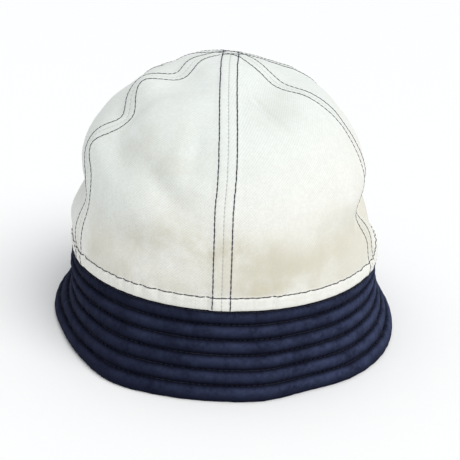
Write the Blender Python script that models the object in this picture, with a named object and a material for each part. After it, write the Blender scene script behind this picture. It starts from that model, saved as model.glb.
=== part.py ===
import bpy
import numpy as np

# Sizes in metres. The hat's front faces -Y, and it stands on its rim at Z 0.
HEM_HALF_WIDTH = 0.0925      # middle of the hat to the outside of the crown's hem, at the sides
HEM_HALF_LENGTH = 0.1002     # the same, at the front and back
CROWN_RISE = 0.1145          # crown's lower edge to its top
CROWN_LEAN = -0.0014         # how far the top sits to one side of the hem's middle
BRIM_DROP = 0.0448           # crown's lower edge to the rim
BRIM_FLARE = 0.0130          # how far the rim stands out beyond the crown's hem
CLOTH = 0.0012               # wall of the crown's cotton twill
HEM_DEPTH = 0.0070           # turned-up strip along the crown's lower edge
HEM_LIFT = 0.0008            # how far that strip stands out from the crown
TUCK_HEIGHT = 0.0060         # the brim's upper edge, tucked up behind the hem
TUCK_CLOTH = 0.0012          # wall of the tucked edge
BRIM_CORE = 0.0020           # quilted brim at its stitched rows
OUTER_PUFF = 0.0013          # how far a padded channel swells outwards between two rows
INNER_PUFF = 0.0007          # and inwards
RIM_ROUND = 0.0009           # rounding of the rim's edges
RIM_FLAT = 0.0012            # flat underside of the rim, which the hat stands on
SEAM_GAP = 0.0003            # between two crown panels
TUCK_GAP = 0.0004            # between the crown and the brim
TIP_RADIUS = 0.0012          # where the six panels' tips end, around the top

# Shape numbers without a unit.
CROWN_BOXINESS = 2.6         # exponent of the crown's profile: 2 is an ellipse, more is squarer
HEM_GRIP = 0.07              # share of the profile over which the stiff hem holds the dents back
CHANNELS = 6                 # padded rings of the brim
PANEL_COLUMNS = 10           # cells across a panel
PANEL_ROWS = 23              # cells from the hem to the tip
HEM_STEP = (0.9, 1.2)        # the hem strip's doubled cloth ends between these shares of its depth
PUFF_ROUNDNESS = 0.6         # exponent of a channel's swelling: less is fuller beside the rows
OUTER_STOPS = (0, 0.22, 0.5, 0.78)    # points down a channel, outside
INNER_STOPS = (0.5, 0)                # and up it, inside
LEAST_SHARE = 0.02           # the brim's slope is taken from here at its very top
LEVEL_STEP = 0.002           # short steps that find which way the crown faces
TURN_STEP = 1
PROFILE_STEPS = 4001
DEGREE = np.pi / 180

# Plain cloth colours and roughness.
TWILL = ((0.80, 0.78, 0.70, 1), 0.85)
QUILT = ((0.022, 0.026, 0.060, 1), 0.9)

# The six seams by azimuth: 0 is the front, 90 is the +X side.
PANELS = ("crown_front_right", "crown_side_right", "crown_back_right",
          "crown_back_left", "crown_side_left", "crown_front_left")
PANEL_WIDTH = 360 / len(PANELS)
BRIM_SECTIONS = PANEL_COLUMNS * len(PANELS)

# How far each seam strays from its even place, in panel widths, by share of the way from hem to top.
# Columns: level, front, front right, back right, back, back left, front left.
SEAM_SWAY = np.array((
    (0.00, 0.00, 0.08, 0.00, 0.00, 0.00, -0.03),
    (0.12, 0.00, 0.10, 0.00, 0.00, 0.00, -0.03),
    (0.22, 0.00, 0.06, 0.01, 0.01, -0.02, -0.02),
    (0.30, 0.00, 0.12, 0.02, 0.01, -0.02, 0.01),
    (0.40, 0.01, 0.17, -0.02, 0.01, 0.02, -0.08),
    (0.53, 0.01, 0.17, 0.01, 0.00, -0.02, 0.05),
    (0.66, 0.00, 0.05, -0.02, 0.00, 0.02, -0.10),
    (0.78, -0.01, -0.20, 0.02, 0.01, -0.04, 0.14),
    (0.90, -0.02, -0.25, 0.04, 0.00, -0.08, -0.02),
    (1.00, 0.00, 0.00, 0.00, 0.00, 0.00, 0.00),
))

# Dents, and puffs where the depth is negative. Azimuth and tilt in degrees, level as a share of the
# way from hem to top, the half-sizes along and across and the depth as shares of the crown's rise.
# Columns: azimuth, level, along, across, tilt, depth.
DENTS = (
    (-80, 0.225, 0.32, 0.09, 0, 0.056),
    (-88, 0.40, 0.26, 0.12, 0, -0.014),
    (-100, 0.62, 0.15, 0.09, 0, 0.014),
    (81, 0.245, 0.34, 0.10, 8, 0.125),
    (92, 0.13, 0.40, 0.09, 0, 0.048),
    (106, 0.24, 0.26, 0.09, 0, 0.055),
    (86, 0.06, 0.34, 0.06, 0, 0.034),
    (52, 0.33, 0.16, 0.14, 0, -0.016),
    (-84, 0.11, 0.26, 0.06, 0, -0.012),
    (85, 0.47, 0.50, 0.35, 0, 0.030),
    (88, 0.76, 0.30, 0.18, 0, 0.026),
    (-60, 0.40, 0.14, 0.11, 0, -0.034),
    (-58, 0.54, 0.12, 0.08, 0, 0.024),
    (-62, 0.67, 0.12, 0.08, 0, -0.026),
    (-52, 0.77, 0.13, 0.09, 10, 0.034),
    (-48, 0.60, 0.13, 0.06, 60, 0.018),
    (-26, 0.73, 0.12, 0.09, 20, 0.018),
    (-47, 0.42, 0.14, 0.08, -25, 0.020),
    (-23, 0.355, 0.17, 0.06, -35, 0.022),
    (-12, 0.48, 0.14, 0.05, 90, 0.014),
    (-37, 0.165, 0.18, 0.08, -8, 0.014),
    (-33, 0.55, 0.15, 0.10, -40, -0.014),
    (-30, 0.27, 0.16, 0.08, -20, -0.014),
    (20, 0.65, 0.16, 0.03, -67, 0.018),
    (31, 0.66, 0.14, 0.10, -45, 0.030),
    (44, 0.76, 0.16, 0.10, 0, 0.030),
    (42, 0.43, 0.28, 0.20, -30, -0.026),
    (41, 0.21, 0.20, 0.08, 10, 0.012),
    (120, 0.30, 0.24, 0.11, 5, 0.034),
    (118, 0.44, 0.15, 0.11, 0, -0.020),
    (150, 0.52, 0.20, 0.09, 35, 0.020),
    (178, 0.30, 0.22, 0.10, -5, 0.026),
    (195, 0.60, 0.17, 0.08, -50, 0.018),
    (-122, 0.50, 0.15, 0.09, 30, 0.022),
    (-130, 0.29, 0.22, 0.10, 0, 0.030),
    (-118, 0.38, 0.14, 0.10, 0, -0.020),
    (-110, 0.74, 0.16, 0.09, 0, 0.022),
    (128, 0.69, 0.15, 0.10, 0, -0.014),
    (155, 0.88, 0.42, 0.22, 0, 0.017),
)

# The brim around the hat. Reach is a share of the flare, and bend says how late a section turns out
# on its way down: 1 is straight. Columns: azimuth, reach, bend.
BRIM_FORM = np.array((
    (-105, 0.97, 1.4),
    (-82, 0.88, 1.4),
    (-64, 0.74, 1.3),
    (-48, 0.91, 1.2),
    (-30, 1.28, 1.1),
    (-15, 1.13, 1.05),
    (0, 1.06, 1.05),
    (12, 1.11, 1.05),
    (26, 0.92, 1.1),
    (42, 1.12, 1.2),
    (58, 1.16, 1.5),
    (80, 1.03, 1.9),
    (105, 0.98, 1.9),
    (130, 1.12, 1.3),
    (155, 0.97, 1.1),
    (180, 1.05, 1.1),
    (205, 1.10, 1.2),
    (230, 0.92, 1.3),
))

# Places where the brim is pressed in, or out where the depth is negative. Width in degrees, height
# as a share of the brim's, depth as a share of the flare. Columns: azimuth, share down, width,
# height, depth.
BRIM_DENTS = (
    (-88, 0.55, 24, 0.22, 0.38),
    (90, 0.45, 28, 0.40, 0.13),
)

# The crown's profile from hem to top as radius and height shares, and how long it is.
DOME_HALF_WIDTH = HEM_HALF_WIDTH - HEM_LIFT
DOME_HALF_LENGTH = HEM_HALF_LENGTH - HEM_LIFT
PROFILE_TURN = np.linspace(0, np.pi / 2, PROFILE_STEPS)
PROFILE_RADIUS = np.cos(PROFILE_TURN)
PROFILE_HEIGHT = np.sin(PROFILE_TURN) ** (2 / CROWN_BOXINESS)
MEAN_RADIUS = (DOME_HALF_WIDTH + DOME_HALF_LENGTH) / 2
PROFILE_RUN = np.concatenate(([0], np.cumsum(np.hypot(
    np.diff(PROFILE_RADIUS) * MEAN_RADIUS, np.diff(PROFILE_HEIGHT) * CROWN_RISE))))
PROFILE_LENGTH = PROFILE_RUN[-1]
HEM_LEVEL = HEM_DEPTH / PROFILE_LENGTH


def unit(vectors):
    return vectors / np.linalg.norm(vectors, axis=-1, keepdims=True)


def smooth_step(low, high, value):
    share = np.clip((value - low) / (high - low), 0, 1)
    return share * share * (3 - 2 * share)


def curve_through(places, values, at):
    """Cubic through a table's rows, each row's slope being taken from its neighbours."""
    slopes = np.gradient(values, places)
    row = np.clip(np.searchsorted(places, at) - 1, 0, len(places) - 2)
    span = places[row + 1] - places[row]
    t = (at - places[row]) / span
    return (values[row] * (1 + 2 * t) * (1 - t) ** 2 + slopes[row] * span * t * (1 - t) ** 2
            + values[row + 1] * t * t * (3 - 2 * t) - slopes[row + 1] * span * t * t * (1 - t))


def curve_around(places, values, azimuth):
    """The same through a table that closes on itself after a full turn."""
    turns = np.concatenate((places - 360, places, places + 360))
    return curve_through(turns, np.tile(values, 3), azimuth)


def profile_at(level):
    """Radius and height shares at a level, the share of the way along the profile from the hem."""
    run = np.asarray(level) * PROFILE_LENGTH
    return np.interp(run, PROFILE_RUN, PROFILE_RADIUS), np.interp(run, PROFILE_RUN, PROFILE_HEIGHT)


def smooth_dome(azimuth, level):
    """The crown before any dent: an ellipse in plan under a boxy profile."""
    radius, height = profile_at(level)
    angle = np.asarray(azimuth) * DEGREE
    return np.stack((DOME_HALF_WIDTH * radius * np.sin(angle) + CROWN_LEAN * height,
                     -DOME_HALF_LENGTH * radius * np.cos(angle),
                     BRIM_DROP + CROWN_RISE * height + 0 * angle), axis=-1)


def dome_outward(points):
    """The way out of the undented dome, from the slope of its formula."""
    height = np.clip((points[..., 2] - BRIM_DROP) / CROWN_RISE, 0, 1)
    return unit(np.stack(((points[..., 0] - CROWN_LEAN * height) / DOME_HALF_WIDTH ** 2,
                          points[..., 1] / DOME_HALF_LENGTH ** 2,
                          CROWN_BOXINESS / 2 * height ** (CROWN_BOXINESS - 1) / CROWN_RISE), axis=-1))


def dent_depth(points):
    """Sum of all dents at points of the undented dome: each fades as a bell along and across."""
    total = np.zeros(points.shape[:-1])
    for azimuth, level, along, across, tilt, depth in DENTS:
        centre = smooth_dome(azimuth, level)
        outward = dome_outward(centre)
        around = unit(np.cross((0, 0, 1), outward))
        upward = np.cross(outward, around)
        turn = tilt * DEGREE
        offset = (points - centre) / CROWN_RISE
        u = offset @ (around * np.cos(turn) + upward * np.sin(turn)) / along
        v = offset @ (upward * np.cos(turn) - around * np.sin(turn)) / across
        w = offset @ outward / along
        total += depth * CROWN_RISE * np.exp(-u * u - v * v - w * w)
    return total


def hem_share(level):
    """1 on the hem strip, falling to 0 just above it."""
    return 1 - smooth_step(HEM_STEP[0] * HEM_LEVEL, HEM_STEP[1] * HEM_LEVEL, level)


def crown_outside(azimuth, level):
    """Outside of the crown: the dome with its dents, and the hem strip standing out below."""
    points = smooth_dome(azimuth, level)
    grip = 1 - np.exp(-(np.asarray(level) / HEM_GRIP) ** 2)
    lift = HEM_LIFT * hem_share(level)
    return points + dome_outward(points) * (lift - grip * dent_depth(points))[..., None]


def crown_outward(azimuth, level):
    """The way out of the dented crown, from two short steps on it."""
    low = np.maximum(level - LEVEL_STEP, 0)
    around = crown_outside(azimuth + TURN_STEP, level) - crown_outside(azimuth - TURN_STEP, level)
    upward = crown_outside(azimuth, level + LEVEL_STEP) - crown_outside(azimuth, low)
    return unit(np.cross(around, upward))


def seam_azimuth(seam, level):
    """Azimuth of a seam at each level, in degrees. Seams count on past a full turn."""
    column = seam % len(PANELS)
    sway = curve_through(SEAM_SWAY[:, 0], SEAM_SWAY[:, 1 + column], level)
    return (seam + sway) * PANEL_WIDTH


def wall_at(level):
    """Thickness of the crown: double where the hem is turned up."""
    return CLOTH * (1 + hem_share(level))


def add_piece(name, points, faces, colour, roughness):
    """One closed piece, with its own cloth material."""
    mesh = bpy.data.meshes.new(name)
    mesh.from_pydata(points.tolist(), [], faces.tolist())
    mesh.shade_smooth()
    material = bpy.data.materials.new(name + "_cloth")
    material.use_nodes = True
    shader = material.node_tree.nodes["Principled BSDF"]
    shader.inputs["Base Color"].default_value = colour
    shader.inputs["Roughness"].default_value = roughness
    mesh.materials.append(material)
    piece = bpy.data.objects.new(name, mesh)
    bpy.context.scene.collection.objects.link(piece)
    return piece


def ring_faces(rows, columns):
    """Four-sided faces of a grid of points that closes on itself both ways."""
    row, column = np.meshgrid(np.arange(rows), np.arange(columns), indexing="ij")
    after, beside = (row + 1) % rows, (column + 1) % columns
    return np.stack((row * columns + column, row * columns + beside,
                     after * columns + beside, after * columns + column), axis=-1).reshape(-1, 4)


def crown_panel(seam, origin):
    """One tapered panel between two seams, as an outer and an inner sheet closed along its edges."""
    hem_rows = np.array((0, HEM_STEP[0] / 2, *HEM_STEP)) * HEM_LEVEL
    tip = 1 - TIP_RADIUS / PROFILE_LENGTH
    body_rows = np.linspace(hem_rows[-1], tip, PANEL_ROWS - len(hem_rows) + 2)
    level = np.concatenate((hem_rows, body_rows[1:]))[:, None]
    share = np.linspace(0, 1, PANEL_COLUMNS + 1)[None, :]
    gap = SEAM_GAP / 2 / (profile_at(level)[0] * MEAN_RADIUS) / DEGREE
    start = seam_azimuth(seam, level) + gap
    end = seam_azimuth(seam + 1, level) - gap
    azimuth = start + (end - start) * share
    level = level + 0 * share
    outside = crown_outside(azimuth, level)
    inside = outside - crown_outward(azimuth, level) * wall_at(level)[..., None]
    points = np.concatenate((outside, inside)) - origin
    rows, columns = level.shape
    return points.reshape(-1, 3), sheet_faces(rows, columns)


def sheet_faces(rows, columns):
    """Faces of an outer and an inner grid of points, joined by a strip along their four edges."""
    number = np.arange(2 * rows * columns).reshape(2, rows, columns)
    outer, inner = number
    cells = [np.stack((outer[:-1, :-1], outer[:-1, 1:], outer[1:, 1:], outer[1:, :-1]), axis=-1),
             np.stack((inner[:-1, :-1], inner[1:, :-1], inner[1:, 1:], inner[:-1, 1:]), axis=-1)]
    for a, b in ((outer[0], inner[0]), (outer[-1, ::-1], inner[-1, ::-1]),
                 (outer[::-1, 0], inner[::-1, 0]), (outer[:, -1], inner[:, -1])):
        cells.append(np.stack((a[:-1], b[:-1], b[1:], a[1:]), axis=-1))
    return np.concatenate([cell.reshape(-1, 4) for cell in cells])


def brim_line(azimuth, share):
    """Stitched line of the brim's outside, out from the hem and up from the ground, and its normal."""
    reach = BRIM_FLARE * curve_around(BRIM_FORM[:, 0], BRIM_FORM[:, 1], azimuth)
    bend = curve_around(BRIM_FORM[:, 0], BRIM_FORM[:, 2], azimuth)
    top_out = TUCK_GAP - 2 * CLOTH
    top = BRIM_DROP - TUCK_GAP
    slope = (reach - top_out) * bend * np.maximum(share, LEAST_SHARE) ** (bend - 1)
    out = top_out + (reach - top_out) * share ** bend
    for place, level, width, height, depth in BRIM_DENTS:
        turned = (azimuth - place + 180) % 360 - 180
        press = BRIM_FLARE * depth * np.exp(-(turned / width) ** 2 - ((share - level) / height) ** 2)
        out = out - press
        slope = slope + press * 2 * (share - level) / height ** 2
    up = RIM_ROUND + (top - RIM_ROUND) * (1 - share)
    normal = unit(np.stack((top - RIM_ROUND + 0 * slope, slope), axis=-1))
    return out, up, normal


def brim_section(azimuth):
    """Cross-section of the brim at each azimuth, as distances out from the hem and up."""
    columns = []
    for channel in range(CHANNELS):
        for stop in OUTER_STOPS:
            out, up, normal = brim_line(azimuth, (channel + stop) / CHANNELS)
            puff = OUTER_PUFF * np.sin(np.pi * stop) ** PUFF_ROUNDNESS
            columns.append((out + normal[:, 0] * puff, up + normal[:, 1] * puff))
    rim_out = brim_line(azimuth, 1)[0]
    columns.append((rim_out, RIM_ROUND + 0 * rim_out))
    columns.append((rim_out - RIM_ROUND, 0 * rim_out))
    columns.append((rim_out - RIM_ROUND - RIM_FLAT, 0 * rim_out))
    for channel in reversed(range(CHANNELS)):
        for stop in INNER_STOPS:
            out, up, normal = brim_line(azimuth, (channel + stop) / CHANNELS)
            depth = BRIM_CORE + INNER_PUFF * np.sin(np.pi * stop)
            columns.append((out - normal[:, 0] * depth, up - normal[:, 1] * depth))
    return columns


def brim_ring(origin):
    """The whole brim: quilted sections below the hem, and the tucked edge behind it."""
    azimuth = np.arange(BRIM_SECTIONS) * 360 / BRIM_SECTIONS
    hem = crown_outside(azimuth, 0 * azimuth)
    outward = unit(crown_outward(azimuth, 0 * azimuth) * (1, 1, 0))
    columns = [hem * (1, 1, 0) + outward * out[:, None] + np.array((0, 0, 1)) * up[:, None]
               for out, up in brim_section(azimuth)]
    top = TUCK_HEIGHT / PROFILE_LENGTH
    for level, depth in ((0, TUCK_CLOTH), (top, TUCK_CLOTH), (top, 0), (0, 0)):
        level = level + 0 * azimuth
        inset = wall_at(level) + TUCK_GAP + depth
        columns.append(crown_outside(azimuth, level) - crown_outward(azimuth, level) * inset[:, None])
    points = np.stack(columns, axis=1) - origin
    return points.reshape(-1, 3), ring_faces(*points.shape[:2])


def rim_middle():
    """Middle of the rim's outline in plan, which becomes the origin."""
    azimuth = np.arange(BRIM_SECTIONS) * 360 / BRIM_SECTIONS
    points = brim_ring(np.zeros(3))[0]
    return np.array((*(points.max(axis=0) + points.min(axis=0))[:2] / 2, 0))


for old in list(bpy.data.objects):
    bpy.data.objects.remove(old)

middle = rim_middle()
for seam, name in enumerate(PANELS):
    add_piece(name, *crown_panel(seam, middle), *TWILL)
add_piece("brim", *brim_ring(middle), *QUILT)
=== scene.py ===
import math
import bpy
import numpy as np
from mathutils import Matrix, Vector


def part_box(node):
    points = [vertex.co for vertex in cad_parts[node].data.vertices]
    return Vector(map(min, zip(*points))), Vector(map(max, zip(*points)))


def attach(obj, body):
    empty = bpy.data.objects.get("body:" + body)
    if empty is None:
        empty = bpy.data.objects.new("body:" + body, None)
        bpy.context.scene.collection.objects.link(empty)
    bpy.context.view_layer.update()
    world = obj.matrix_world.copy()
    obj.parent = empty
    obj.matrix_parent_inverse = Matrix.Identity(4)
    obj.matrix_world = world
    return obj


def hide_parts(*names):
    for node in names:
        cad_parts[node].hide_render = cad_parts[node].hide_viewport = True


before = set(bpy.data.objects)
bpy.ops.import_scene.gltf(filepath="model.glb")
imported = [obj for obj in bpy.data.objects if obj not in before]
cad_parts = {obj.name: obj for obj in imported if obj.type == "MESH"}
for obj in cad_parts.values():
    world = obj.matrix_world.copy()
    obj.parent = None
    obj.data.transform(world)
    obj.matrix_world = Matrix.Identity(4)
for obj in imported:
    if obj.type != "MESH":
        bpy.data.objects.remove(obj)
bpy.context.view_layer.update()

mm = 0.001
degree = math.pi / 180
print("frame loaded:", ", ".join(sorted(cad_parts)))

# Sizes of the hem read from the frame: the side panels reach furthest sideways at it, the front and
# back panels furthest forwards and backwards, and all of them end at it.
sideLow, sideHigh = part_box("crown_side_left")[0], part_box("crown_side_right")[1]
frontLow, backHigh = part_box("crown_front_left")[0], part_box("crown_back_left")[1]

crown = {
    "middleX": (sideLow.x + sideHigh.x) / 2,
    "middleY": (frontLow.y + backHigh.y) / 2,
    "halfWidth": (sideHigh.x - sideLow.x) / 2,
    "halfLength": (backHigh.y - frontLow.y) / 2,
    "edge": frontLow.z,                  # height of the crown's lower edge
    "rise": backHigh.z - frontLow.z,
    "lean": -1.4 * mm,                   # top against the hem's middle
    "boxiness": 2.6,                     # exponent of the profile: 2 is an ellipse
    "profilePoints": 6001,
    "hemGrip": 0.07,                     # share of the profile where the hem holds the dents back
    "hemDepth": 7 * mm,
    "hemEase": (0.9, 1.2),               # the folded cloth thins out over this part, in hem depths
    "hemLift": 0.8 * mm,
    "hemDip": 0.352 * mm,                # its row of stitches pulls in this much
    "hemGather": 0.24 * mm,
    "gatherAt": 0.75,                    # where the gathers are highest, in hem depths
    "gatherReach": 4.2 * mm,
    "edgeRound": 0.35 * mm,
    "edgeReach": 0.6 * mm,
    "looseFrom": (0.5, 2.0),             # the cloth gets loose over this part, in hem depths
    "wave": 0.20 * mm,                   # the loose cloth's unevenness, broad and fine
    "crumple": 0.035 * mm,
    "cloth": 1.2 * mm,
    "seamGap": 0.04 * mm,
    "tip": 0.25 * mm,                    # the panels end this far from the top
    "edgeRows": np.array((0, 0.15, 0.45, 0.9)) * mm,
    "firstRow": 1.5 * mm,
    "rowStep": 0.75 * mm,                # mesh spacing up a panel
    "middleCells": 50,
    # mesh columns beside a seam, by their distance from it
    "seamSteps": np.array((0, 0.35, 0.8, 1.5, 2.6, 3.6, 4.25, 4.7, 5.15, 5.8, 6.8, 8.4, 10.6, 13.4)) * mm,
    "squeeze": 2.3,                      # they close up in a panel narrower than 2.3 of the last one
    "tipShare": 0.2,                     # most of a panel's width that its gap takes at the tip
}

panels = ("crown_front_right", "crown_side_right", "crown_back_right",
          "crown_back_left", "crown_side_left", "crown_front_left")
panelWidth = 360 / len(panels)
longSeams = (0, 3)                       # front and back make one seam over the top

# how far each seam strays from its even place, in panel widths
# level, front, front right, back right, back, back left, front left
seamSway = np.array((
    (0.00, 0.00, 0.08, 0.00, 0.00, 0.00, -0.03),
    (0.12, 0.00, 0.10, 0.00, 0.00, 0.00, -0.03),
    (0.22, 0.00, 0.06, 0.01, 0.01, -0.02, -0.02),
    (0.30, 0.00, 0.12, 0.02, 0.01, -0.02, 0.01),
    (0.40, 0.01, 0.17, -0.02, 0.01, 0.02, -0.08),
    (0.53, 0.01, 0.17, 0.01, 0.00, -0.02, 0.05),
    (0.66, 0.00, 0.05, -0.02, 0.00, 0.02, -0.10),
    (0.78, -0.01, -0.20, 0.02, 0.01, -0.04, 0.14),
    (0.90, -0.02, -0.25, 0.04, 0.00, -0.08, -0.02),
    (1.00, 0.00, 0.00, 0.00, 0.00, 0.00, 0.00),
))

# dents, and puffs where the depth is negative; the sizes are shares of the crown's rise
# azimuth, level, along, across, tilt, depth
dents = (
    (-80, 0.225, 0.32, 0.09, 0, 0.056),
    (-88, 0.40, 0.26, 0.12, 0, -0.014),
    (-100, 0.62, 0.15, 0.09, 0, 0.014),
    (81, 0.245, 0.34, 0.10, 8, 0.125),
    (92, 0.13, 0.40, 0.09, 0, 0.048),
    (106, 0.24, 0.26, 0.09, 0, 0.055),
    (86, 0.06, 0.34, 0.06, 0, 0.034),
    (52, 0.33, 0.16, 0.14, 0, -0.016),
    (-84, 0.11, 0.26, 0.06, 0, -0.012),
    (85, 0.47, 0.50, 0.35, 0, 0.030),
    (88, 0.76, 0.30, 0.18, 0, 0.026),
    (-60, 0.40, 0.14, 0.11, 0, -0.034),
    (-58, 0.54, 0.12, 0.08, 0, 0.024),
    (-62, 0.67, 0.12, 0.08, 0, -0.026),
    (-52, 0.77, 0.13, 0.09, 10, 0.034),
    (-48, 0.60, 0.13, 0.06, 60, 0.018),
    (-26, 0.73, 0.12, 0.09, 20, 0.018),
    (-47, 0.42, 0.14, 0.08, -25, 0.020),
    (-23, 0.355, 0.17, 0.06, -35, 0.022),
    (-12, 0.48, 0.14, 0.05, 90, 0.014),
    (-37, 0.165, 0.18, 0.08, -8, 0.014),
    (-33, 0.55, 0.15, 0.10, -40, -0.014),
    (-30, 0.27, 0.16, 0.08, -20, -0.014),
    (20, 0.65, 0.16, 0.03, -67, 0.026),
    (31, 0.66, 0.14, 0.10, -45, 0.030),
    (44, 0.76, 0.16, 0.10, 0, 0.030),
    (42, 0.43, 0.28, 0.20, -30, -0.026),
    (41, 0.21, 0.20, 0.08, 10, 0.012),
    (120, 0.30, 0.24, 0.11, 5, 0.034),
    (118, 0.44, 0.15, 0.11, 0, -0.020),
    (150, 0.52, 0.20, 0.09, 35, 0.020),
    (178, 0.30, 0.22, 0.10, -5, 0.026),
    (195, 0.60, 0.17, 0.08, -50, 0.018),
    (-122, 0.50, 0.15, 0.09, 30, 0.022),
    (-130, 0.29, 0.22, 0.10, 0, 0.030),
    (-118, 0.38, 0.14, 0.10, 0, -0.020),
    (-110, 0.74, 0.16, 0.09, 0, 0.022),
    (128, 0.69, 0.15, 0.10, 0, -0.014),
    (155, 0.88, 0.42, 0.22, 0, 0.017),
)

seams = {
    "spread": 4.7 * mm,                  # topstitching to either side of a seam
    "allowance": 6.2 * mm,               # where the turned-under cloth ends
    "allowanceEdge": (0.85, 1.15),       # the strip's edge slopes between these shares of it
    "raise": 0.45 * mm,                  # how far it lifts the panel
    "grooveDepth": 0.16 * mm,
    "grooveWidth": 0.5 * mm,
    "grooveShade": 0.35 * mm,
    "stitchDip": 0.22 * mm,
    "dipBeat": 0.25,                     # share of the dip that comes and goes with the stitches
    "stitchWidth": 0.75 * mm,
    "puckerDepth": 0.10 * mm,
    "puckerReach": 2.2,                  # in stitch widths
    "crossing": 1.3,                     # other seams fade out this many spreads from the long seam
    "hemThread": 0.02 * mm,              # the hem's row lies this much higher in its dip
    "rowStart": 0.3 * mm,                # rows begin this far above the edge, and end this far from the top
    "rowEnd": 2.35 * mm,
    "pathPoints": 4000,
    "pitch": 2.9 * mm,
}


# Vectors divided by their length.
def unit(vectors):
    return vectors / np.linalg.norm(vectors, axis=-1, keepdims=True)


# 0 below low, 1 above high, and 3 t t - 2 t t t of the share t between them.
def smoothStep(low, high, value):
    share = np.clip((value - low) / (high - low), 0, 1)
    return share * share * (3 - 2 * share)


# Cubic through a table's rows, with each row's slope taken from its neighbours.
def curveThrough(places, values, at):
    slopes = np.gradient(values, places)
    row = np.clip(np.searchsorted(places, at) - 1, 0, len(places) - 2)
    span = places[row + 1] - places[row]
    t = (at - places[row]) / span
    return (values[row] * (1 + 2 * t) * (1 - t) ** 2 + slopes[row] * span * t * (1 - t) ** 2
            + values[row + 1] * t * t * (3 - 2 * t) - slopes[row + 1] * span * t * t * (1 - t))


# The same through a table that goes once round the hat.
def curveAround(places, values, azimuth):
    turns = np.concatenate((places - 360, places, places + 360))
    return curveThrough(turns, np.tile(values, 3), azimuth)


# A smooth random line around the hat: sines of whole counts between two wavelengths.
def wander(seed, shortest, longest, parts=14):
    draw = np.random.default_rng(seed)
    around = 2 * math.pi * crown["halfWidth"]
    counts = np.round(around / draw.uniform(shortest, longest, parts))
    phases = draw.uniform(0, 2 * math.pi, parts)
    scale = math.sqrt(2 / parts)

    def line(azimuth):
        angle = np.asarray(azimuth) * degree
        return scale * sum(np.sin(count * angle + phase) for count, phase in zip(counts, phases))

    return line


# Soft random swellings in space: plane waves in random directions.
def swellings(seed, shortest, longest, parts=22):
    draw = np.random.default_rng(seed)
    ways = unit(draw.normal(size=(parts, 3))) * (2 * math.pi / draw.uniform(shortest, longest, (parts, 1)))
    phases = draw.uniform(0, 2 * math.pi, parts)
    scale = math.sqrt(2 / parts)

    def swell(points):
        return scale * sum(np.sin(points @ way + phase) for way, phase in zip(ways, phases))

    return swell


domeWidth = crown["halfWidth"] - crown["hemLift"]
domeLength = crown["halfLength"] - crown["hemLift"]
turn = np.linspace(0, math.pi / 2, crown["profilePoints"])
profileRadius = np.cos(turn)
profileHeight = np.sin(turn) ** (2 / crown["boxiness"])
profileRun = np.concatenate(([0], np.cumsum(np.hypot(
    np.diff(profileRadius) * (domeWidth + domeLength) / 2, np.diff(profileHeight) * crown["rise"]))))
profileLength = profileRun[-1]
hemLevel = crown["hemDepth"] / profileLength


# Radius and height of the profile, as shares, at a share of its length.
def profileAt(level):
    run = np.asarray(level) * profileLength
    return np.interp(run, profileRun, profileRadius), np.interp(run, profileRun, profileHeight)


# The crown before any dent. In plan it is an ellipse, which shrinks upwards as the cosine of an angle
# while the height grows as the sine of it to the power 2 / boxiness.
def smoothDome(azimuth, level):
    radius, height = profileAt(level)
    angle = np.asarray(azimuth) * degree
    return np.stack((crown["middleX"] + domeWidth * radius * np.sin(angle) + crown["lean"] * height,
                     crown["middleY"] - domeLength * radius * np.cos(angle),
                     crown["edge"] + crown["rise"] * height + 0 * angle), axis=-1)


# The way out of that dome: the slope of its formula.
def domeOutward(points):
    height = np.clip((points[..., 2] - crown["edge"]) / crown["rise"], 0, 1)
    x = points[..., 0] - crown["middleX"] - crown["lean"] * height
    y = points[..., 1] - crown["middleY"]
    b = crown["boxiness"]
    upward = b / 2 * height ** (b - 1) / crown["rise"]
    return unit(np.stack((x / domeWidth ** 2, y / domeLength ** 2, upward), axis=-1))


# Sum of the dents: each fades as a bell along and across its own axes.
def dentDepth(points):
    total = np.zeros(points.shape[:-1])
    for azimuth, level, along, across, tilt, depth in dents:
        centre = smoothDome(azimuth, level)
        outward = domeOutward(centre)
        around = unit(np.cross((0, 0, 1), outward))
        upward = np.cross(outward, around)
        c, s = math.cos(tilt * degree), math.sin(tilt * degree)
        offset = (points - centre) / crown["rise"]
        u = offset @ (around * c + upward * s) / along
        v = offset @ (upward * c - around * s) / across
        w = offset @ outward / along
        total += depth * crown["rise"] * np.exp(-u * u - v * v - w * w)
    return total


# Azimuth of a seam: its even place and its sway, both times a panel's width.
def seamAzimuth(seam, level):
    sway = curveThrough(seamSway[:, 0], seamSway[:, 1 + seam % len(panels)], np.asarray(level))
    return (seam + sway) * panelWidth


# How much a seam's slant narrows a distance measured level around the crown.
def seamSlant(seam, level, radius):
    step = 0.004
    turned = (seamAzimuth(seam, level + step) - seamAzimuth(seam, level - step)) * degree * radius
    return 1 / np.sqrt(1 + (turned / (2 * step * profileLength)) ** 2)


# Distance of points from each seam, with a sign, and far away on the other side of the top.
def seamDistances(azimuth, level):
    points = smoothDome(azimuth, level)
    radius = np.hypot(points[..., 0] - crown["middleX"] - crown["lean"], points[..., 1] - crown["middleY"])
    found = []
    for seam in range(len(panels)):
        turned = (azimuth - seamAzimuth(seam, level) + 180) % 360 - 180
        distance = radius * np.sin(turned * degree) * seamSlant(seam, level, radius)
        found.append(np.where(np.abs(turned) < 90, distance, 1))
    return np.stack(found)


# 1 on the hem's folded cloth, easing to 0 above its row.
def hemShare(level):
    return 1 - smoothStep(*crown["hemEase"], level / hemLevel)


hemPucker = wander(11, 5 * mm, 12 * mm)
clothWaves = swellings(5, 16 * mm, 46 * mm)
clothCrumple = swellings(8, 6 * mm, 13 * mm)


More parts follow.
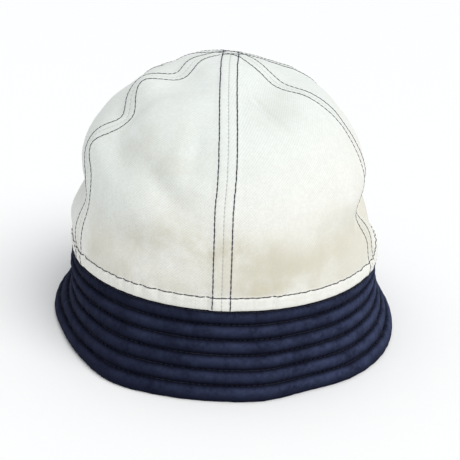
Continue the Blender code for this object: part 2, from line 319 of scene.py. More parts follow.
# Low relief of the sewn crown: strips raised by the turned-under cloth, the seam's groove, the
# topstitching pulled in, puckers from one stitch to the next, the hem, and the cloth's own unevenness.
def crownRelief(azimuth, level, points):
    along = level * profileLength
    distances = np.abs(seamDistances(azimuth, level))
    longDistance = distances[list(longSeams)].min(axis=0)
    beat = np.cos(2 * math.pi * along / seams["pitch"])
    height = np.zeros(level.shape)
    reach = seams["puckerReach"] * seams["stitchWidth"]
    clear = smoothStep(seams["spread"], seams["crossing"] * seams["spread"], longDistance)
    dip = seams["stitchDip"] * (1 - seams["dipBeat"] + seams["dipBeat"] * beat)
    for seam, distance in enumerate(distances):
        here = 1.0 if seam in longSeams else clear
        strip = 1 - smoothStep(*seams["allowanceEdge"], distance / seams["allowance"])
        groove = np.exp(-(distance / seams["grooveWidth"]) ** 2)
        sewn = np.exp(-((distance - seams["spread"]) / seams["stitchWidth"]) ** 2)
        nearby = np.exp(-((distance - seams["spread"]) / reach) ** 2)
        pucker = seams["puckerDepth"] * nearby * beat
        height += here * (seams["raise"] * strip - seams["grooveDepth"] * groove - dip * sewn + pucker)
    height = np.minimum(height, seams["raise"] + seams["puckerDepth"])
    sewnHem = np.exp(-((along - crown["hemDepth"]) / seams["stitchWidth"]) ** 2)
    nearHem = np.exp(-((along - crown["gatherAt"] * crown["hemDepth"]) / crown["gatherReach"]) ** 2)
    folded = np.exp(-(along / crown["edgeReach"]) ** 2)
    height += crown["hemGather"] * nearHem * hemPucker(azimuth)
    height -= crown["hemDip"] * sewnHem + crown["edgeRound"] * folded
    loose = smoothStep(*crown["looseFrom"], level / hemLevel)
    return height + loose * (crown["wave"] * clothWaves(points) + crown["crumple"] * clothCrumple(points))


# The crown's outer face: the smooth dome moved out by the hem's lift and the relief, and in by the
# dents, which the hem holds back.
def crownOutside(azimuth, level, relief=True):
    azimuth, level = np.broadcast_arrays(np.asarray(azimuth, float), np.asarray(level, float))
    points = smoothDome(azimuth, level)
    grip = 1 - np.exp(-(level / crown["hemGrip"]) ** 2)
    out = crown["hemLift"] * hemShare(level) - grip * dentDepth(points)
    if relief:
        out = out + crownRelief(azimuth, level, points)
    return points + domeOutward(points) * out[..., None]


# The way out of the dented crown: its slope around crossed with its slope upwards.
def crownOutward(azimuth, level):
    step, aside = 0.002, 1
    low = np.maximum(level - step, 0)
    around = crownOutside(azimuth + aside, level, False) - crownOutside(azimuth - aside, level, False)
    upward = crownOutside(azimuth, level + step, False) - crownOutside(azimuth, low, False)
    return unit(np.cross(around, upward))


# One cloth, and two where the hem is folded.
def wallAt(level):
    return crown["cloth"] * (1 + hemShare(level))


# A linked object of four-sided faces, with values kept for each point and a map of the cloth.
def makeMesh(name, points, faces, layers=None, uv=None):
    mesh = bpy.data.meshes.new(name)
    points, faces = points.reshape(-1, 3), faces.reshape(-1, 4)
    mesh.vertices.add(len(points))
    mesh.vertices.foreach_set("co", points.ravel())
    mesh.loops.add(faces.size)
    mesh.loops.foreach_set("vertex_index", faces.ravel())
    mesh.polygons.add(len(faces))
    mesh.polygons.foreach_set("loop_start", np.arange(0, faces.size, 4))
    mesh.update(calc_edges=True)
    mesh.shade_smooth()
    for layer, values in (layers or {}).items():
        kept = mesh.attributes.new(layer, "FLOAT", "POINT")
        kept.data.foreach_set("value", values.ravel().astype(np.float32))
    if uv is not None:
        cloth = mesh.uv_layers.new(name="cloth")
        cloth.data.foreach_set("uv", uv.reshape(-1, 2)[faces.ravel()].ravel())
    piece = bpy.data.objects.new(name, mesh)
    bpy.context.scene.collection.objects.link(piece)
    return piece


# Faces of an outer and an inner grid joined along their four edges.
def sheetFaces(rows, columns):
    outer, inner = np.arange(2 * rows * columns).reshape(2, rows, columns)
    cells = [np.stack((outer[:-1, :-1], outer[:-1, 1:], outer[1:, 1:], outer[1:, :-1]), axis=-1),
             np.stack((inner[:-1, :-1], inner[1:, :-1], inner[1:, 1:], inner[:-1, 1:]), axis=-1)]
    for a, b in ((outer[0], inner[0]), (outer[-1, ::-1], inner[-1, ::-1]),
                 (outer[::-1, 0], inner[::-1, 0]), (outer[:, -1], inner[:, -1])):
        cells.append(np.stack((a[:-1], b[:-1], b[1:], a[1:]), axis=-1))
    return np.concatenate([cell.reshape(-1, 4) for cell in cells])


# Faces of a grid that closes on itself both ways.
def ringFaces(rows, columns):
    row, column = np.meshgrid(np.arange(rows), np.arange(columns), indexing="ij")
    after, beside = (row + 1) % rows, (column + 1) % columns
    return np.stack((row * columns + column, row * columns + beside,
                     after * columns + beside, after * columns + column), axis=-1)


# Shader maths written as sums: a wire is one socket, and + - * on it add Math nodes.
class Wire:
    def __init__(self, recipe, socket):
        self.recipe, self.socket = recipe, socket

    def join(self, operation, first, second):
        return self.recipe.make("ShaderNodeMath", {"operation": operation}, {0: first, 1: second})

    def __add__(self, other):
        return self.join("ADD", self, other)

    def __sub__(self, other):
        return self.join("SUBTRACT", self, other)

    def __rsub__(self, other):
        return self.join("SUBTRACT", other, self)

    def __mul__(self, other):
        return self.join("MULTIPLY", self, other)

    __radd__ = __add__
    __rmul__ = __mul__


# One material: each node is made with its settings first and its inputs fed after them.
class Recipe:
    def __init__(self, name):
        self.material = bpy.data.materials.new(name)
        self.material.use_nodes = True
        self.tree = self.material.node_tree
        self.shader = self.tree.nodes["Principled BSDF"]

    def feed(self, socket, value):
        if isinstance(value, Wire):
            self.tree.links.new(value.socket, socket)
        else:
            socket.default_value = value

    def make(self, kind, settings, inputs, output=0):
        node = self.tree.nodes.new(kind)
        for setting, value in settings.items():
            setattr(node, setting, value)
        for socket, value in inputs.items():
            self.feed(node.inputs[socket], value)
        return Wire(self, node.outputs[output])

    def place(self):
        return self.make("ShaderNodeTexCoord", {}, {}, "Object")

    def split(self, vector):
        first = self.make("ShaderNodeSeparateXYZ", {}, {0: vector})
        return [Wire(self, socket) for socket in first.socket.node.outputs]

    # A soft patch round a place: 1 at its middle, fading as a bell over its width and height.
    def patch(self, x, z, middleX, middleZ, width, height):
        across, up = (x - middleX) * (1 / width), (z - middleZ) * (1 / height)
        return self.make("ShaderNodeMath", {"operation": "EXPONENT"}, {0: (across * across + up * up) * -1})

    # A value that the mesh keeps for each point.
    def layer(self, name):
        return self.make("ShaderNodeAttribute", {"attribute_name": name}, {}, "Fac")

    def noise(self, vector, scale, detail=3.0, roughness=0.5):
        inputs = {"Vector": vector, "Scale": scale, "Detail": detail, "Roughness": roughness}
        return self.make("ShaderNodeTexNoise", {}, inputs, "Fac")

    # Noise on the cloth's own map, as fine as each way's count in a metre says.
    def woven(self, u, v, countU, countV, detail):
        stretched = self.make("ShaderNodeCombineXYZ", {}, {0: u * countU, 1: v * countV})
        return self.noise(stretched, 1.0, detail)

    def bump(self, strength, depth, distance=1.0):
        inputs = {"Strength": strength, "Distance": distance, "Height": depth}
        return self.make("ShaderNodeBump", {}, inputs, "Normal")

    # 0 at low and 1 at high, eased at both ends; low may be the larger one.
    def between(self, value, low, high):
        return self.make("ShaderNodeMapRange", {"interpolation_type": "SMOOTHSTEP"},
                         {"Value": value, "From Min": low, "From Max": high})

    def blend(self, factor, first, second):
        return self.make("ShaderNodeMix", {"data_type": "RGBA", "clamp_factor": True},
                         {0: factor, 6: first, 7: second}, 2)

    def sine(self, value):
        return self.make("ShaderNodeMath", {"operation": "SINE"}, {0: value})

    def finish(self, **inputs):
        for socket, value in inputs.items():
            self.feed(self.shader.inputs[socket.replace("_", " ")], value)
        return self.material


twill = {
    "cream": (0.90, 0.895, 0.84, 1),
    "cool": (0.835, 0.888, 0.862, 1),
    "soiled": (0.62, 0.58, 0.44, 1),
    # grey of the painted shade in the seams' grooves, and of the seam's own stitches seen there
    "groove": (0.42, 0.42, 0.40, 1),
    "shadeAndMottle": (0.55, 0.55, 0.50, 1),     # grey of the painted shade between the ribs and in the shade patches, and of the random mottle
    "slub": (1, 1, 1, 1),
    "ribPitch": 1.6 * mm,
    "ribDepth": 0.09 * mm,
    "yarnDepth": 0.03 * mm,
    "gather": 0.75 * mm,                 # how deep the hem's strip is gathered
    "tackPitch": 2.2 * mm,               # the seam's own stitches, just seen in its groove
    "roughness": 0.86,
    "bump": 0.55,
    "sheen": 0.12,
    "specular": 0.25,
    # how much of its colour each mark brings
    "cooled": 0.9,
    "stained": 0.5,
    "clouded": 0.07,
    "mottled": 0.07,
    "slubbed": 0.06,
    "grained": 0.14,
    "ribbed": 0.20,
    "grooveShaded": 0.06,
    "tacked": 0.50,
    # the top is cool above a slope between these heights, and the foot is soiled below the others
    "coolFrom": (0.070, 0.135),
    "soiledBelow": (0.094, 0.070),
    "frontFrom": (0.02, -0.03),          # the patches come in from here to there, back to front
    # noises: swellings in a metre, detail and roughness
    "blotches": (26, 3),
    "clouds": (70, 4, 0.6),
    "grain": (620, 2, 0.6),
    "mottle": (150, 3),
    "ribWander": (60, 2),
    # noises on the cloth's own map: swellings in a metre across and up, and detail
    "yarn": (900, 2600, 1),
    "slubs": (2400, 320, 2),
    "gathers": (620, 40, 2),
}

# the front's soiled patches, and after them its patches of painted shade, in millimetres: sideways, up,
# width, height, and how strong
soilPatches = (
    (-10, 78, 15, 9, 0.62),
    (-36, 78, 14, 9, 0.26),
    (-30, 96, 9, 22, 0.26),
    (-42, 118, 24, 12, 0.24),
    (14, 76, 16, 6, 0.44),
    (30, 66, 26, 9, 0.34),
    (60, 80, 16, 13, 0.36),
    (20, 55, 18, 5, 0.40),
    (-20, 104, 7, 14, 0.20),
)

paintedShadePatches = (
    (23, 138, 13, 9, 0.30),
    (-30, 132, 8, 18, 0.16),
)


# Cream twill: cool towards the top, soiled low down, with diagonal ribs along the cloth, and painted shade
# between the ribs, in the seams' grooves and in grey patches on the front.
def twillMaterial():
    r = Recipe("creamTwill")
    place = r.place()
    x, y, z = r.split(place)
    u, v = r.split(r.make("ShaderNodeUVMap", {"uv_map": "cloth"}, {}))[:2]
    ribs = r.sine((u - v) * (2 * math.pi / twill["ribPitch"]) + 2.2 * r.noise(place, *twill["ribWander"]))
    yarn = r.woven(u, v, *twill["yarn"])
    slubs = r.woven(u, v, *twill["slubs"])
    blotches = r.noise(place, *twill["blotches"])
    cloudy = r.noise(place, *twill["clouds"])
    grain = r.noise(place, *twill["grain"])
    clean = 1 - r.layer("hem")
    low = r.between(z + 0.026 * (blotches - 0.5), *twill["soiledBelow"]) * clean
    marked = r.between(blotches + 0.4 * (cloudy - 0.5) + 1.6 * x - 1.2 * y, 0.40, 0.78)
    stain = low * marked * twill["stained"]
    front = r.between(y, *twill["frontFrom"]) * clean
    for middleX, middleZ, width, height, strength in soilPatches:
        spot = r.patch(x, z, middleX * mm, middleZ * mm, width * mm, height * mm)
        stain = stain + strength * front * spot * r.between(cloudy + 0.5 * (blotches - 0.5), 0.25, 0.65)
    upper = r.between(z - 0.35 * x, *twill["coolFrom"])
    colour = r.blend(upper * twill["cooled"], twill["cream"], twill["cool"])
    colour = r.blend(stain, colour, twill["soiled"])
    # painted shade: grey patches where the dents high on the front are shaded
    for middleX, middleZ, width, height, strength in paintedShadePatches:
        spot = r.patch(x, z, middleX * mm, middleZ * mm, width * mm, height * mm)
        colour = r.blend(strength * front * spot, colour, twill["shadeAndMottle"])
    colour = r.blend(r.between(cloudy, 0.35, 0.75) * twill["clouded"], colour, twill["soiled"])
    mottle = r.between(r.noise(place, *twill["mottle"]), 0.35, 0.70)
    colour = r.blend(mottle * twill["mottled"], colour, twill["shadeAndMottle"])
    colour = r.blend(r.between(slubs, 0.55, 0.85) * twill["slubbed"], colour, twill["slub"])
    # random grain, and painted shade in the hollows between the ribs that draws the weave
    fine = r.between(grain, 0.30, 0.70) * twill["grained"] + (0.5 - 0.5 * ribs) * twill["ribbed"]
    colour = r.blend(fine, colour, twill["shadeAndMottle"])
    # painted shade along each seam's groove, with dots for the seam's own stitches in it
    dotted = r.between(r.sine(v * (2 * math.pi / twill["tackPitch"])), -0.5, 0.3)
    sewn = r.layer("groove") * (twill["grooveShaded"] + twill["tacked"] * dotted)
    colour = r.blend(sewn, colour, twill["groove"])
    gathers = r.woven(u, v, *twill["gathers"])
    depth = twill["ribDepth"] * (0.5 + 0.5 * ribs) + twill["yarnDepth"] * yarn
    depth = depth + twill["gather"] * r.layer("hem") * gathers
    return r.finish(Base_Color=colour, Roughness=twill["roughness"], Normal=r.bump(twill["bump"], depth),
                    Sheen_Weight=twill["sheen"], Sheen_Roughness=0.5,
                    Specular_IOR_Level=twill["specular"])


quilt = {
    "channels": 6,
    "flare": 13 * mm,
    "tuckGap": 0.4 * mm,
    "tuckHeight": 6 * mm,
    "tuckCloth": 1.2 * mm,
    "core": 2.0 * mm,
    "outerPuff": 1.9 * mm,
    "innerPuff": 0.8 * mm,
    "rimRound": 0.9 * mm,
    "rimFlat": 1.2 * mm,
    "fullest": 0.75,                     # exponent that moves a channel's crest up: 1 is the middle
    "plump": 0.62,                       # exponent of its section: 1 is a sine, less is fuller
    "pucker": 0.6 * mm,                  # how deep a stitch pulls in, and how far that reaches
    "puckerReach": 1.0 * mm,
    "uneven": 0.17 * mm,                 # how far a row strays in and out, and how far that reaches
    "unevenReach": 2.6 * mm,
    "rimRipple": 0.10 * mm,
    "topRow": 0.022,                     # the top row lies this share of the height below the edge
    "leastShare": 0.02,                  # keeps the slope finite at the top
    "girth": 1.04,                       # mean radius of the hem against its half width
    "rowShade": 1.3 * mm,                # how wide the painted shade is along a row and under the crown
    "topShade": 3 * mm,
    "crestEdge": 1.3,                    # exponent of the worn and painted-highlight crests: more is narrower
    "pitch": 3.2 * mm,
    "sections": 940,
    "outerCells": 12,                    # mesh cells down a channel, outside
    "innerCells": 3,
    "navy": (0.0035, 0.0045, 0.013, 1),
    "wornAndHighlight": (0.040, 0.051, 0.104, 1),
    "paintedShadeNavy": (0.002, 0.002, 0.006, 1),
    "sheenTint": (0.35, 0.45, 1, 1),
    "thread": (0.016, 0.018, 0.030, 1),
    "wearAndLightLeft": 0.33,                    # the crests' wear and painted highlight on the hat's left and right, lighter on the right as painted light from that side
    "wearAndLightRight": 1.13,
    "darkened": 0.7,                     # how much of the painted shade's colour a row has
    "nap": 0.05 * mm,
    "roughness": 0.92,
    "bump": 0.6,
    "sheen": 0.03,
    "specular": 0.06,
    # noises: swellings in a metre, detail and roughness
    "fuzz": (1500, 3, 0.7),
    "mottle": (90, 4, 0.6),
    "streaks": (420, 3, 0.6),
}

# the brim around the hat: reach as a share of the flare, and how late a section turns out downwards
# azimuth, reach, bend
brimForm = np.array((
    (-105, 0.97, 1.4),
    (-82, 0.88, 1.4),
    (-64, 0.74, 1.3),
    (-48, 0.91, 1.2),
    (-30, 1.28, 1.1),
    (-15, 1.13, 1.05),
    (0, 1.06, 1.05),
    (12, 1.11, 1.05),
    (26, 0.92, 1.1),
    (42, 1.12, 1.2),
    (58, 1.16, 1.5),
    (80, 1.03, 1.9),
    (105, 0.98, 1.9),
    (130, 1.12, 1.3),
    (155, 0.97, 1.1),
    (180, 1.05, 1.1),
    (205, 1.10, 1.2),
    (230, 0.92, 1.3),
))

# places where the brim is pressed in, or out where the depth is negative; depth in flares
# azimuth, share of the way down, width in degrees, height as a share, depth
brimDents = (
    (-88, 0.55, 24, 0.22, 0.38),
    (90, 0.45, 28, 0.40, 0.13),
)

quiltRows = np.arange(quilt["channels"]) / quilt["channels"]
quiltRows[0] = quilt["topRow"]
rowRadii = crown["halfWidth"] * quilt["girth"] + quilt["flare"] * quiltRows
stitchCounts = np.round(2 * math.pi * rowRadii / quilt["pitch"])
rowWander = [wander(40 + row, 4 * mm, 13 * mm) for row in range(quilt["channels"] + 1)]


# Line of the brim's stitched outside: out from the hem as the reach times a power of the share down,
# less the dents, up from the ground, and its normal.
def brimLine(azimuth, share):
    reach = quilt["flare"] * curveAround(brimForm[:, 0], brimForm[:, 1], azimuth)
    bend = curveAround(brimForm[:, 0], brimForm[:, 2], azimuth)
    topOut = quilt["tuckGap"] - 2 * crown["cloth"]
    tall = crown["edge"] - quilt["tuckGap"] - quilt["rimRound"]
    slope = (reach - topOut) * bend * np.maximum(share, quilt["leastShare"]) ** (bend - 1)
    out = topOut + (reach - topOut) * share ** bend
    for place, level, width, height, depth in brimDents:
        turned = (azimuth - place + 180) % 360 - 180
        press = quilt["flare"] * depth * np.exp(-(turned / width) ** 2 - ((share - level) / height) ** 2)
        out = out - press
        slope = slope + press * 2 * (share - level) / height ** 2
    up = quilt["rimRound"] + tall * (1 - share)
    return out, up, unit(np.stack((tall + 0 * slope, slope), axis=-1))


# How far a padded channel swells between its two rows, with a pucker running in from every stitch.
def channelPuff(azimuth, share, swell):
    tall = crown["edge"]
    within = (share * quilt["channels"] % 1) ** quilt["fullest"]
    puff = swell * np.sin(math.pi * within) ** quilt["plump"]
    pull = quilt["pucker"] * swell / quilt["outerPuff"]
    for row, place in enumerate(quiltRows):
        distance = np.abs(share - place) * tall
        beat = 0.5 + 0.5 * np.cos(stitchCounts[row] * azimuth * degree + 2 * row)
        puff = puff - pull * beat * np.exp(-distance / quilt["puckerReach"])
        puff = puff + quilt["uneven"] * rowWander[row](azimuth) * np.exp(-distance / quilt["unevenReach"])
    return puff


# The brim's closed section, as columns of out and up: the padded outside down to the rim, the round
# rim, and the inside back up, a core's thickness and its own smaller puff behind the line.
def brimSections(azimuth):
    columns = []
    for cell in range(quilt["channels"] * quilt["outerCells"]):
        share = cell / (quilt["channels"] * quilt["outerCells"])
        out, up, normal = brimLine(azimuth, share)
        puff = channelPuff(azimuth, share, quilt["outerPuff"])
        columns.append((out + normal[:, 0] * puff, up + normal[:, 1] * puff))
    rimOut = brimLine(azimuth, 1)[0]
    ripple = quilt["rimRipple"] * rowWander[-1](azimuth)
    for angle in (0, 30, 60, 90):        # the rim's outer edge turns under
        under = quilt["rimRound"] * (1 - math.cos(angle * degree))
        up = quilt["rimRound"] * (1 - math.sin(angle * degree))
        columns.append((rimOut + ripple - under, up + 0 * rimOut))
    for share in (0.5, 1):
        columns.append((rimOut - quilt["rimRound"] - quilt["rimFlat"] * share, 0 * rimOut))
    for cell in reversed(range(quilt["channels"] * quilt["innerCells"])):
        share = cell / (quilt["channels"] * quilt["innerCells"])
        out, up, normal = brimLine(azimuth, share)
        depth = quilt["core"] + channelPuff(azimuth, share, quilt["innerPuff"])
        columns.append((out - normal[:, 0] * depth, up - normal[:, 1] * depth))
    return columns


# The brim's stitched lines lie out from the hem along its level normal.
def brimPoint(azimuth, out, up):
    level = 0 * azimuth
    hem = crownOutside(azimuth, level, False)
    outward = unit(crownOutward(azimuth, level) * (1, 1, 0))
    return hem * (1, 1, 0) + outward * out[..., None] + np.array((0, 0, 1)) * up[..., None]


# The brim: its section carried around the hem, and closed by the cloth tucked up behind the crown.
def makeBrim():
    azimuth = np.arange(quilt["sections"]) * 360 / quilt["sections"]
    columns = [brimPoint(azimuth, out, up) for out, up in brimSections(azimuth)]
    top = quilt["tuckHeight"] / profileLength
    for share, depth in ((0, 1), (0.5, 1), (1, 1), (1, 0), (0.5, 0), (0, 0)):
        level = share * top + 0 * azimuth
        inset = wallAt(level) + quilt["tuckGap"] + depth * quilt["tuckCloth"]
        columns.append(crownOutside(azimuth, level, False) - crownOutward(azimuth, level) * inset[:, None])
    points = np.stack(columns, axis=1)
    rows, across = points.shape[:2]
    steps = np.linalg.norm(np.diff(points, axis=1), axis=2)
    run = np.concatenate((np.zeros((rows, 1)), np.cumsum(steps, axis=1)), axis=1)
    uv = np.stack(((azimuth * degree * crown["halfWidth"])[:, None] + 0 * run, run), axis=-1)
    down = np.arange(across) / (quilt["channels"] * quilt["outerCells"])
    # painted shade: darker along each quilting row and under the crown's edge
    distance = np.abs(down[None, :] - quiltRows[:, None]).min(axis=0) * crown["edge"]
    paintedRowShade = np.exp(-(distance / quilt["rowShade"]) ** 2)
    paintedRowShade = np.maximum(paintedRowShade, np.exp(-down * crown["edge"] / quilt["topShade"]))
    paintedRowShade[down > 1] = 0
    # the crests' wear and painted highlight lie a little above the fullest line of a channel, where it
    # faces the light from above
    within = (down * quilt["channels"] % 1) ** quilt["fullest"] ** 2
    crest = np.where(down < 1, np.sin(math.pi * within) ** quilt["crestEdge"], 0)
    layers = {"groove": np.tile(paintedRowShade, (rows, 1)), "crest": np.tile(crest, (rows, 1))}
    return makeMesh("quiltedBrim", points, ringFaces(rows, across), layers, uv)


# Navy cloth: brushed, lighter on the crests as wear and painted highlight, more so towards the right as
# painted light, and darker along the rows and under the crown as painted shade.
def navyMaterial():
    r = Recipe("navyCloth")
    place = r.place()
    fuzz = r.noise(place, *quilt["fuzz"])
    mottle = r.noise(place, *quilt["mottle"])
    streaks = r.noise(r.make("ShaderNodeUVMap", {"uv_map": "cloth"}, {}), *quilt["streaks"])
    # painted light: the crests' lightening grows towards the right, the lit side, on top of their wear
    rightward = r.between(r.split(place)[0], -0.10, 0.10)
    paintedSideLight = quilt["wearAndLightLeft"] + (quilt["wearAndLightRight"] - quilt["wearAndLightLeft"]) * rightward
    wearAndHighlight = r.layer("crest") * paintedSideLight * r.between(mottle + 0.5 * (streaks - 0.5), 0.05, 0.80)
    colour = r.blend(wearAndHighlight + 0.05 * streaks, quilt["navy"], quilt["wornAndHighlight"])
    # painted shade along the quilting rows and under the crown's edge
    colour = r.blend(r.layer("groove") * quilt["darkened"], colour, quilt["paintedShadeNavy"])
    depth = quilt["nap"] * (fuzz + streaks)
    return r.finish(Base_Color=colour, Roughness=quilt["roughness"], Normal=r.bump(quilt["bump"], depth),
                    Sheen_Weight=quilt["sheen"], Sheen_Tint=quilt["sheenTint"], Sheen_Roughness=0.5,
                    Specular_IOR_Level=quilt["specular"])


# One panel: columns bunch beside its two seams, and close up in proportion towards the tip.
def makePanel(seam, name):
    tip = 1 - crown["tip"] / profileLength
    higher = np.arange(crown["firstRow"] / profileLength, tip, crown["rowStep"] / profileLength)
    level = np.concatenate((crown["edgeRows"] / profileLength, higher, (tip,)))
    start, end = seamAzimuth(seam, level), seamAzimuth(seam + 1, level)
    radius = profileAt(level)[0] * (domeWidth + domeLength) / 2
    width = (end - start) * degree * radius
    steps = crown["seamSteps"]
    fit = np.minimum(1, width / (crown["squeeze"] * steps[-1]))[:, None]
    left = (steps * fit + crown["seamGap"] / 2) / width[:, None]
    left[:, 0] = np.minimum(left[:, 0], crown["tipShare"])
    middle = np.linspace(0, 1, crown["middleCells"] + 1)[1:-1]
    inner = left[:, -1:] + (1 - 2 * left[:, -1:]) * middle
    share = np.concatenate((left, inner, 1 - left[:, ::-1]), axis=1)
    share = np.maximum.accumulate(share, axis=1)
    azimuth = start[:, None] + (end - start)[:, None] * share
    level = level[:, None] + 0 * share
    outside = crownOutside(azimuth, level)
    inside = crownOutside(azimuth, level, False) - crownOutward(azimuth, level) * wallAt(level)[..., None]
    # the painted shade along each seam's groove, kept as the layer groove
    distance = np.abs(seamDistances(azimuth, level)).min(axis=0)
    groove = np.exp(-(distance / seams["grooveShade"]) ** 2)
    hem = hemShare(level)
    uv = np.stack(((share - 0.5) * width[:, None], level * profileLength), axis=-1)
    layers = {"groove": np.stack((groove, 0 * groove)), "hem": np.stack((hem, hem))}
    return makeMesh(name, np.stack((outside, inside)), sheetFaces(*level.shape), layers, np.stack((uv, uv)))


thread = {
    "colour": (0.030, 0.028, 0.042, 1),
    "fibre": (0.060, 0.058, 0.080, 1),
    "twist": (2600, 2, 0.6),             # its noise: swellings in a metre, detail and roughness
    "radius": 0.26 * mm,
    "sides": 6,                          # each end is closed by two four-sided faces, so it stays six
    "filled": 1.10,                      # share of the pitch that one stitch covers
    "dive": 0.20 * mm,                   # how far its ends go down
    "proud": 0.13 * mm,                  # how far its middle stands up
    # stops along it from one end, -1, to the other, and its girth at each
    "stops": np.array((-1, -0.86, -0.5, 0, 0.5, 0.86, 1)),
    "girths": np.array((0.5, 0.85, 1.05, 1.15, 1.05, 0.85, 0.5)),
    "turned": 0.03,                      # how far stitches turn aside, stray and differ in length
    "swing": 0.06 * mm,
    "lengths": 0.05,
    # the crown's rows: name, seams, and thickness against other stitches
    "rows": (("longSeamStitching", longSeams, 1.08), ("sideSeamStitching", (1, 2, 4, 5), 0.84)),
    "hemSize": 0.92,
    "hemSwing": 0.03 * mm,
    "quiltSwing": 0.04 * mm,
    "roundPoints": 6001,                 # points of a row that goes around the hat
}


# Points at given distances along a path.
def alongPath(points, run, where):
    return np.stack([np.interp(where, run, points[:, axis]) for axis in range(3)], axis=1)


# Stitches along a line of points: each is a short thread whose middle lies on the cloth and whose
# ends dive into it, a round profile carried along a flattened arch.
def stitchMesh(paths, pitch, seed, swing, size=1.0):
    draw = np.random.default_rng(seed)
    centres, alongs, outs = [], [], []
    for points, outward in paths:
        run = np.concatenate(([0], np.cumsum(np.linalg.norm(np.diff(points, axis=0), axis=1))))
        count = max(1, round(run[-1] / pitch))
        at = (np.arange(count) + 0.5) * run[-1] / count
        half = 0.25 * pitch
        alongs.append(unit(alongPath(points, run, at + half) - alongPath(points, run, at - half)))
        centres.append(alongPath(points, run, at))
        outs.append(unit(alongPath(outward, run, at)))
    centre, along, out = (np.concatenate(rows) for rows in (centres, alongs, outs))
    side = unit(np.cross(out, along))
    amount = len(centre)
    along = unit(along + side * draw.normal(0, thread["turned"], (amount, 1)))
    centre = centre + side * draw.normal(0, swing, (amount, 1))
    length = pitch * thread["filled"] * draw.normal(1, thread["lengths"], amount)
    t = thread["stops"]
    thin = thread["girths"] * thread["radius"] * size
    sink = thread["proud"] * size - thread["dive"] * np.abs(t) ** 4
    spine = (centre[:, None] + along[:, None] * (t[None, :] * length[:, None] / 2)[..., None]
             + out[:, None] * sink[None, :, None])
    angle = np.arange(thread["sides"]) * 2 * math.pi / thread["sides"]
    ring = side[:, None] * np.cos(angle)[None, :, None] + out[:, None] * np.sin(angle)[None, :, None]
    points = spine[:, :, None] + ring[:, None] * thin[None, :, None, None]
    stops, sides = len(t), thread["sides"]
    grid = np.arange(stops * sides).reshape(stops, sides)
    beside = np.roll(grid, -1, axis=1)
    faces = np.stack((grid[:-1], beside[:-1], beside[1:], grid[1:]), axis=-1).reshape(-1, 4)
    first, last = grid[0], grid[-1]
    caps = (first[[3, 2, 1, 0]], first[[5, 4, 3, 0]], last[[0, 1, 2, 3]], last[[0, 3, 4, 5]])
    faces = np.concatenate((faces, np.array(caps)))
    faces = faces[None] + (np.arange(amount) * stops * sides)[:, None, None]
    return points, faces


# Path of one topstitched row, at the spread beside a seam, from the hem up to where it meets its
# fellow near the top.
def seamRow(seam, side):
    start, end = seams["rowStart"] / profileLength, 1 - seams["rowEnd"] / profileLength
    level = np.linspace(start, end, seams["pathPoints"])
    radius = profileAt(level)[0] * (domeWidth + domeLength) / 2
    offset = seams["spread"] / (radius * seamSlant(seam, level, radius))
    keep = offset < 1
    level, offset = level[keep], offset[keep]
    azimuth = seamAzimuth(seam, level) + side * np.arcsin(offset) / degree
    return crownOutside(azimuth, level), crownOutward(azimuth, level)


# The row around the crown, a hem's depth above its edge.
def hemRow():
    azimuth = np.linspace(0, 360, thread["roundPoints"])
    level = hemLevel + 0 * azimuth
    outward = crownOutward(azimuth, level)
    return crownOutside(azimuth, level) + outward * seams["hemThread"], outward


# A quilting row on the brim, on its outside or, with a depth, on its inside.
def quiltRow(row, inner):
    azimuth = np.linspace(0, 360, thread["roundPoints"])
    share = quiltRows[row]
    out, up, normal = brimLine(azimuth, share)
    puff = -quilt["core"] if inner else channelPuff(azimuth, share, quilt["outerPuff"])
    if inner:
        puff = puff - channelPuff(azimuth, share, quilt["innerPuff"])
    points = brimPoint(azimuth, out + normal[:, 0] * puff, up + normal[:, 1] * puff)
    tilt = brimPoint(azimuth, out + normal[:, 0] * (puff + mm), up + normal[:, 1] * (puff + mm))
    outward = unit(tilt - points) * (-1 if inner else 1)
    return points, outward


# Dark twisted thread with lighter fibres.
def threadMaterial(name, base, light):
    r = Recipe(name)
    fibre = r.noise(r.place(), *thread["twist"])
    colour = r.blend(fibre, base, light)
    bump = r.bump(0.5, fibre, 0.05 * mm)
    return r.finish(Base_Color=colour, Roughness=0.7, Normal=bump, Specular_IOR_Level=0.2)


# Gives a piece its material and body, and hides the frame's nodes that it stands for.
def dress(piece, material, slot, *nodes):
    piece.data.materials.append(material)
    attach(piece, "root")
    if nodes:
        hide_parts(*nodes)
    return piece


camera = {
    "eye": Vector((2.2, -483.8, 240.2)) * mm,
    "aim": Vector((2.2, 0, 49.6)) * mm,
    "roll": 2.6 * degree,                # the hat's top leans to the right in the picture
    "lens": 66.4,
    "sensor": 36,
}


# The camera looks from its eye to the aim, and rolls about that line.
def addCamera():
    data = bpy.data.cameras.new("camera")
    data.lens = camera["lens"]
    data.sensor_width = camera["sensor"]
    eye = bpy.data.objects.new("camera", data)
    look = (camera["aim"] - camera["eye"]).normalized()
    right = look.cross(Vector((0, 0, 1))).normalized()
    up = right.cross(look)
    c, s = math.cos(camera["roll"]), math.sin(camera["roll"])
    x, y = right * c + up * s, up * c - right * s
    eye.matrix_world = Matrix.Translation(camera["eye"]) @ Matrix((x, y, -look)).transposed().to_4x4()
    bpy.context.scene.collection.objects.link(eye)
    bpy.context.scene.camera = eye


lights = {
    "sky": 0.60,
    "skyColour": (0.97, 0.985, 1, 1),
    "sun": 1.75,
    "sunFrom": (0.48, -0.45, 0.95),      # from the right, a little in front
    "softness": 45 * degree,             # the sun's width in the sky
}


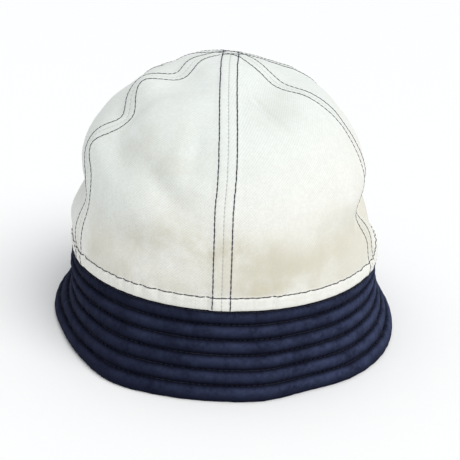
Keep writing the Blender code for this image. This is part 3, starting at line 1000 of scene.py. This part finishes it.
# A pale sky all around and one soft sun.
def addLights():
    world = bpy.data.worlds.new("studio")
    world.use_nodes = True
    background = world.node_tree.nodes["Background"]
    background.inputs["Color"].default_value = lights["skyColour"]
    background.inputs["Strength"].default_value = lights["sky"]
    bpy.context.scene.world = world
    data = bpy.data.lights.new("softbox", "SUN")
    data.energy, data.angle = lights["sun"], lights["softness"]
    lamp = bpy.data.objects.new("softbox", data)
    lamp.matrix_world = Vector(lights["sunFrom"]).to_track_quat("Z", "Y").to_matrix().to_4x4()
    bpy.context.scene.collection.objects.link(lamp)


ground = {
    "half": 6.0,
    "pale": (0.96, 0.96, 0.96, 1),
    "roughness": 0.95,
}


# A pale floor under the hat, which is not part of it.
def addFloor():
    half = ground["half"]
    points = np.array(((-half, -half, 0), (half, -half, 0), (half, half, 0), (-half, half, 0)))
    floor = makeMesh("floor", points, np.array(((0, 1, 2, 3),)))
    pale = Recipe("paleFloor").finish(Base_Color=ground["pale"], Roughness=ground["roughness"])
    floor.data.materials.append(pale)


addCamera()
addLights()
addFloor()
bpy.context.scene.view_settings.view_transform = "Standard"
print("camera, lights and floor are set")

cream, navy = twillMaterial(), navyMaterial()
dark = threadMaterial("navyThread", thread["colour"], thread["fibre"])
sunken = threadMaterial("quiltingThread", quilt["navy"], quilt["thread"])
for seam, name in enumerate(panels):
    dress(makePanel(seam, name + "_cloth"), cream, "cream_twill", name)
    print("panel sewn:", name)

brim = dress(makeBrim(), navy, "navy_quilt", "brim")
print("brim quilted")

for name, chosen, size in thread["rows"]:
    rows = [seamRow(seam, side) for seam in chosen for side in (-1, 1)]
    points, faces = stitchMesh(rows, seams["pitch"], 21, thread["swing"], size)
    dress(makeMesh(name, points, faces), dark, "navy_thread")
points, faces = stitchMesh([hemRow()], seams["pitch"], 22, thread["hemSwing"], thread["hemSize"])
dress(makeMesh("hemStitching", points, faces), dark, "navy_thread")
for name, inner in (("quiltingOutside", False), ("quiltingInside", True)):
    rows = [quiltRow(row, inner) for row in range(quilt["channels"])]
    points, faces = stitchMesh(rows, quilt["pitch"], 23 + inner, thread["quiltSwing"])
    dress(makeMesh(name, points, faces), sunken, "navy_thread")
print("stitches laid")
